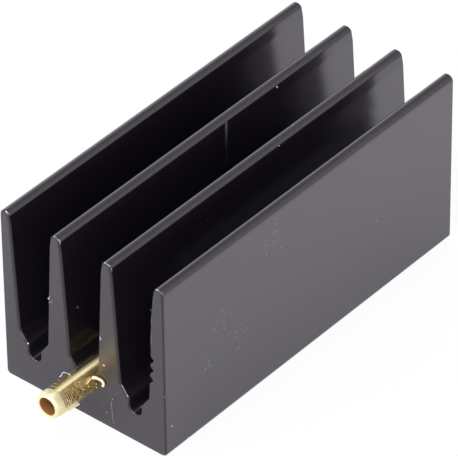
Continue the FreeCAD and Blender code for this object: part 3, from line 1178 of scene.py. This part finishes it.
class HEATSINK_OT_turn_pin(bpy.types.Operator):
    """Turns the hollow solder pin with its lip, land and ribs"""

    bl_idname = "heatsink.turn_pin"
    bl_label = "Turn the pin"

    def execute(self, context):
        look = looks().pin
        brass = pin_brass()
        piece = new_piece("solder_pin_turned", lathe(pin_half_section(), PIN_COLUMNS), brass)
        sizes = {
            "Rib pitch": look.rib_pitch,
            "Rib count": look.rib_count,
            "Rib depth": look.rib_depth,
            "Band start": PIN_TIP + look.land,
            "Least radius": (PIN_RADIUS + look.bore / 2) / 2,
            "Axis X": PIN_AXIS.x,
            "Axis Z": PIN_AXIS.z,
            "Bruise depth": look.bruise_depth,
        }
        apply_tree(piece, rib_tree(brass, sizes), sizes)
        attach(piece, ROOT)
        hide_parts(PIN_NODE)
        return {"FINISHED"}


class HEATSINK_OT_leave_shavings(bpy.types.Operator):
    """Leaves the curl, the burr and the crumbs round the pressed-in pin"""

    bl_idname = "heatsink.leave_shavings"
    bl_label = "Leave the brass shavings"

    def execute(self, context):
        wear = looks().wear
        shaving = plain_metal("brass_shaving", wear.shaving, metallic=0.25, roughness=0.5)
        gold = plain_metal("brass_burr", wear.tail, metallic=0.1, roughness=0.5)
        cream = plain_metal("pale_burr", wear.pale_burr, metallic=0.1, roughness=0.5)
        pieces = [
            sweep("brass_curl", CURL, shaving, breadth=0.42, thickness=0.42, taper=0.15, notch=0.75),
            sweep(
                "brass_curl_tail", CURL_TAIL, gold, facing=(0.85, 0, 0.5), breadth=0.3, thickness=0.1,
                notch=0.3,
            ),
            sweep(
                "burr_below_pin", BURR_BELOW, cream, facing=(0.77, 0, -0.64), breadth=0.3,
                thickness=0.2,
            ),
            specks("brass_crumbs", CRUMBS, shaving, smallest=0.06, largest=0.09, seed=3),
        ]
        for piece in pieces:
            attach(piece, ROOT)
        return {"FINISHED"}


class HEATSINK_OT_leave_burrs(bpy.types.Operator):
    """Leaves the bright burrs, chips and scratches of the sawn end and the fins"""

    bl_idname = "heatsink.leave_burrs"
    bl_label = "Leave the burrs and scratches"

    def execute(self, context):
        wear = looks().wear
        bright = plain_metal("bare_aluminium", wear.chips, metallic=0.4, roughness=0.45)
        dull = plain_metal("scratched_skin", wear.scratches, metallic=0.0, roughness=0.5)
        pale = plain_metal("burr_aluminium", wear.whisker, metallic=0.05, roughness=0.6)
        faint = plain_metal("worn_edge", wear.worn_edge, metallic=0.1, roughness=0.55)
        fine_chips = [*FINE_CHIPS, *chip_row()]
        pieces = [
            sweep("burr_whisker", WHISKER, pale, breadth=0.09, thickness=0.09, taper=0.3),
            sweep(
                "scrape_on_fin", FIN_SCRAPE, scraped_skin(), facing=(1, 0, 0), breadth=0.06,
                thickness=0.4, taper=0.2,
            ),
            sweep("scratch_on_end", END_SCRATCH, dull, breadth=0.03, thickness=0.11, taper=0.4),
            sweep(
                "curved_scratch_on_end", END_SCRATCH_CURVED, dull, breadth=0.02, thickness=0.035,
                taper=0.4,
            ),
            sweep("burr_on_shoulder", SHOULDER_BURR, faint, breadth=0.04, thickness=0.09, taper=0.2),
            specks("smudges_on_end", SMUDGES, dull, smallest=0.08, largest=0.11, seed=6),
            specks("bright_chips", CHIPS, bright, smallest=0.08, largest=0.12, seed=5),
            specks("fine_bright_chips", fine_chips, bright, smallest=0.035, largest=0.06, seed=8),
        ]
        for piece in pieces:
            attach(piece, ROOT)
        return {"FINISHED"}


class HEATSINK_OT_strew_dust(bpy.types.Operator):
    """Strews fine dust on the right side"""

    bl_idname = "heatsink.strew_dust"
    bl_label = "Strew the dust"

    def execute(self, context):
        wear = looks().wear
        dust = plain_metal("dust", wear.dust, metallic=0.0, roughness=0.9)
        faint_dust = plain_metal("faint_dust", wear.fine_dust, metallic=0.0, roughness=0.9)
        strewn = clusters(DUST_CLUSTERS, DUST_SPREAD, GRAINS_PER_CLUSTER, CLUSTER_SEED)
        coarse = [(SIDE / MM - DUST_SINKS, along, up) for along, up in DUST]
        fine = [(SIDE / MM - FINE_DUST_SINKS, along, up) for along, up in strewn]
        pieces = [
            specks("dust_grains", coarse, dust, smallest=0.05, largest=0.07, seed=2),
            specks("fine_dust", fine, faint_dust, smallest=0.03, largest=0.05, seed=4),
        ]
        for piece in pieces:
            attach(piece, ROOT)
        return {"FINISHED"}


class HEATSINK_OT_set_stage(bpy.types.Operator):
    """Sets the floor, the white surroundings, the lamp and the camera"""

    bl_idname = "heatsink.set_stage"
    bl_label = "Set the stage"

    def execute(self, context):
        look = looks().stage
        half = look.floor_half
        mesh = bpy.data.meshes.new("floor")
        corners = [(-half, -half), (half, -half), (half, half), (-half, half)]
        mesh.from_pydata([(*corner, -look.floor_drop) for corner in corners], [], [(0, 1, 2, 3)])
        floor = new_piece("floor", mesh, floor_material())
        context.scene.world = white_room()
        context.scene.collection.objects.link(front_lamp(look.lamp_power))
        camera = view_camera(look)
        context.scene.collection.objects.link(camera)
        context.scene.camera = camera
        context.scene.view_settings.view_transform = "Standard"
        return {"FINISHED"}


class HEATSINK_PT_looks(bpy.types.Panel):
    """Lists the steps and the settings"""

    bl_label = "Heat sink"
    bl_idname = "HEATSINK_PT_looks"
    bl_space_type = "VIEW_3D"
    bl_region_type = "UI"
    bl_category = "Heat sink"

    def draw(self, context):
        for step in STEPS:
            self.layout.operator(step.bl_idname)
        for group in (looks().body, looks().pin, looks().wear, looks().stage):
            box = self.layout.box()
            for name in group.__annotations__:
                box.prop(group, name)


STEPS = (
    HEATSINK_OT_finish_body,
    HEATSINK_OT_turn_pin,
    HEATSINK_OT_leave_shavings,
    HEATSINK_OT_leave_burrs,
    HEATSINK_OT_strew_dust,
    HEATSINK_OT_set_stage,
)
CLASSES = (BodyFinish, PinShape, WearColours, StageLook, HeatSinkLooks, *STEPS, HEATSINK_PT_looks)


def register():
    for each in CLASSES:
        bpy.utils.register_class(each)
    bpy.types.Scene.heat_sink_looks = PointerProperty(type=HeatSinkLooks)


def unregister():
    del bpy.types.Scene.heat_sink_looks
    for each in reversed(CLASSES):
        bpy.utils.unregister_class(each)


def main():
    """Registers the tools and makes every piece."""
    register()
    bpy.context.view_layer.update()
    bpy.ops.heatsink.finish_body()
    bpy.ops.heatsink.turn_pin()
    bpy.ops.heatsink.leave_shavings()
    bpy.ops.heatsink.leave_burrs()
    bpy.ops.heatsink.strew_dust()
    bpy.ops.heatsink.set_stage()


if __name__ == "__main__":
    main()
